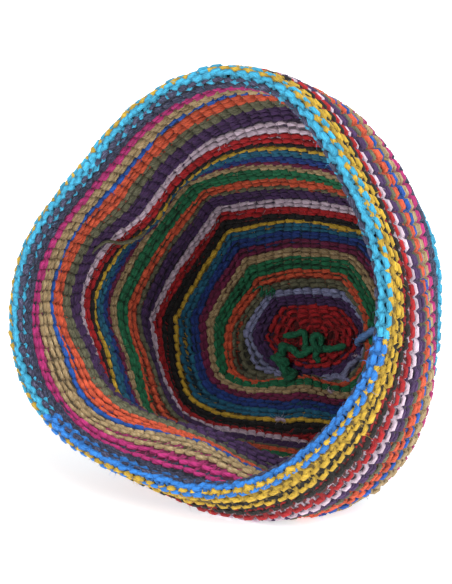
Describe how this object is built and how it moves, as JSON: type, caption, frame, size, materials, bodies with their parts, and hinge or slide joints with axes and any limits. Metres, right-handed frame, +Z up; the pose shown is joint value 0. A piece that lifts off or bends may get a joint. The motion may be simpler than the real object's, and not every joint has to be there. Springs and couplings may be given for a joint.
{
  "type": "knitted beanie",
  "caption": "Chunky striped wool beanie with a turned-up cuff, lying on its side with its opening to the front, for wearing on the head.",
  "frame": {"origin": "the middle of the hat's box, on the surface that it lies on", "axes": "+Z up, -Y out of the opening, +Y towards the crown, +X to the right as seen from the opening"},
  "size_m": [0.1834, 0.1654, 0.1842],
  "materials": {
    "striped_wool": "hand-knitted wool, reverse side inside, in rings of twelve colours",
    "cuff_wool": "the same hand-knitted wool turned up, reverse side outward, in rings of twelve colours"
  },
  "bodies": {
    "root": {"body": "striped_wool", "cuff": "cuff_wool"}
  },
  "joints": []
}
